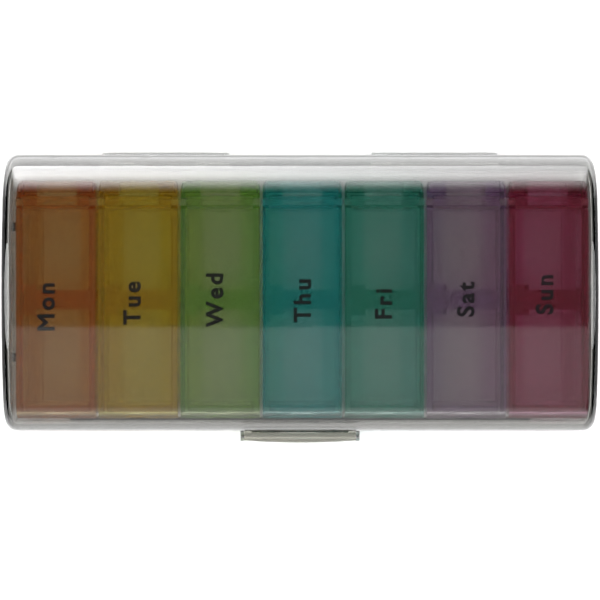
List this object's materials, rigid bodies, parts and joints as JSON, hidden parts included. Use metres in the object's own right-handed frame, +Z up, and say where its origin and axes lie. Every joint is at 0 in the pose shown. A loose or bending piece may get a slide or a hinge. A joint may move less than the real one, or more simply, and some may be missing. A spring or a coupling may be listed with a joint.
{
  "type": "travel pill organizer",
  "caption": "Smoke-clear hinged travel case with a front latch, holding a row of coloured day pods, each a two-compartment tray with its own hinged lid.",
  "frame": {"origin": "centre of the flat underside the case rests on", "axes": "+X along the case to the right as seen from the front, +Y towards the hinge, +Z up through the lid"},
  "size_m": [0.16, 0.0788, 0.03],
  "materials": {
    "smoke_clear": "polished, transparent",
    "pale_clear": "polished, transparent",
    "pin_steel": "ground",
    "amber_orange": "polished, translucent",
    "amber_yellow": "polished, translucent",
    "leaf_green": "polished, translucent",
    "sea_blue": "polished, translucent",
    "teal_green": "polished, translucent",
    "violet": "polished, translucent",
    "magenta_red": "polished, translucent"
  },
  "bodies": {
    "case_base": {"case_base": "smoke_clear", "hinge_pin_left": "pin_steel", "hinge_pin_right": "pin_steel", "latch_pin": "pin_steel"},
    "case_lid": {"case_lid": "smoke_clear"},
    "latch_clasp": {"latch_clasp": "pale_clear"},
    "mon_pod": {"mon_tray": "amber_orange"},
    "mon_lid": {"mon_lid": "amber_orange"},
    "tue_pod": {"tue_tray": "amber_yellow"},
    "tue_lid": {"tue_lid": "amber_yellow"},
    "wed_pod": {"wed_tray": "leaf_green"},
    "wed_lid": {"wed_lid": "leaf_green"},
    "thu_pod": {"thu_tray": "sea_blue"},
    "thu_lid": {"thu_lid": "sea_blue"},
    "fri_pod": {"fri_tray": "teal_green"},
    "fri_lid": {"fri_lid": "teal_green"},
    "sat_pod": {"sat_tray": "violet"},
    "sat_lid": {"sat_lid": "violet"},
    "sun_pod": {"sun_tray": "magenta_red"},
    "sun_lid": {"sun_lid": "magenta_red"}
  },
  "joints": [
    {"name": "case_lid_hinge", "type": "hinge", "parent": "case_base", "child": "case_lid", "pos_m": [0, 0.0356, 0.015], "axis": [-1, 0, 0], "range_deg": [0, 150]},
    {"name": "latch_flip", "type": "hinge", "parent": "case_base", "child": "latch_clasp", "pos_m": [0, -0.0392, 0.0088], "axis": [1, 0, 0], "range_deg": [0, 75]},
    {"name": "mon_pod_lift", "type": "slide", "parent": "case_base", "child": "mon_pod", "axis": [0, 0, 1], "range_m": [0, 0.01]},
    {"name": "mon_lid_hinge", "type": "hinge", "parent": "mon_pod", "child": "mon_lid", "pos_m": [-0.0654, 0.024, 0.0254], "axis": [-1, 0, 0], "range_deg": [0, 72]},
    {"name": "tue_pod_lift", "type": "slide", "parent": "case_base", "child": "tue_pod", "axis": [0, 0, 1], "range_m": [0, 0.01]},
    {"name": "tue_lid_hinge", "type": "hinge", "parent": "tue_pod", "child": "tue_lid", "pos_m": [-0.0434, 0.024, 0.0254], "axis": [-1, 0, 0], "range_deg": [0, 72]},
    {"name": "wed_pod_lift", "type": "slide", "parent": "case_base", "child": "wed_pod", "axis": [0, 0, 1], "range_m": [0, 0.01]},
    {"name": "wed_lid_hinge", "type": "hinge", "parent": "wed_pod", "child": "wed_lid", "pos_m": [-0.0214, 0.024, 0.0254], "axis": [-1, 0, 0], "range_deg": [0, 72]},
    {"name": "thu_pod_lift", "type": "slide", "parent": "case_base", "child": "thu_pod", "axis": [0, 0, 1], "range_m": [0, 0.01]},
    {"name": "thu_lid_hinge", "type": "hinge", "parent": "thu_pod", "child": "thu_lid", "pos_m": [0.0006, 0.024, 0.0254], "axis": [-1, 0, 0], "range_deg": [0, 72]},
    {"name": "fri_pod_lift", "type": "slide", "parent": "case_base", "child": "fri_pod", "axis": [0, 0, 1], "range_m": [0, 0.01]},
    {"name": "fri_lid_hinge", "type": "hinge", "parent": "fri_pod", "child": "fri_lid", "pos_m": [0.0226, 0.024, 0.0254], "axis": [-1, 0, 0], "range_deg": [0, 72]},
    {"name": "sat_pod_lift", "type": "slide", "parent": "case_base", "child": "sat_pod", "axis": [0, 0, 1], "range_m": [0, 0.01]},
    {"name": "sat_lid_hinge", "type": "hinge", "parent": "sat_pod", "child": "sat_lid", "pos_m": [0.0446, 0.024, 0.0254], "axis": [-1, 0, 0], "range_deg": [0, 72]},
    {"name": "sun_pod_lift", "type": "slide", "parent": "case_base", "child": "sun_pod", "axis": [0, 0, 1], "range_m": [0, 0.01]},
    {"name": "sun_lid_hinge", "type": "hinge", "parent": "sun_pod", "child": "sun_lid", "pos_m": [0.0666, 0.024, 0.0254], "axis": [-1, 0, 0], "range_deg": [0, 72]}
  ],
  "couplings": [
    {"joint": "mon_pod_lift", "follows": "case_lid_hinge", "m_per_rad": 0.0038},
    {"joint": "mon_lid_hinge", "follows": "case_lid_hinge", "ratio": 0.48},
    {"joint": "tue_pod_lift", "follows": "case_lid_hinge", "m_per_rad": 0.0038},
    {"joint": "tue_lid_hinge", "follows": "case_lid_hinge", "ratio": 0.48},
    {"joint": "wed_pod_lift", "follows": "case_lid_hinge", "m_per_rad": 0.0038},
    {"joint": "wed_lid_hinge", "follows": "case_lid_hinge", "ratio": 0.48},
    {"joint": "thu_pod_lift", "follows": "case_lid_hinge", "m_per_rad": 0.0038},
    {"joint": "thu_lid_hinge", "follows": "case_lid_hinge", "ratio": 0.48},
    {"joint": "fri_pod_lift", "follows": "case_lid_hinge", "m_per_rad": 0.0038},
    {"joint": "fri_lid_hinge", "follows": "case_lid_hinge", "ratio": 0.48},
    {"joint": "sat_pod_lift", "follows": "case_lid_hinge", "m_per_rad": 0.0038},
    {"joint": "sat_lid_hinge", "follows": "case_lid_hinge", "ratio": 0.48},
    {"joint": "sun_pod_lift", "follows": "case_lid_hinge", "m_per_rad": 0.0038},
    {"joint": "sun_lid_hinge", "follows": "case_lid_hinge", "ratio": 0.48}
  ]
}
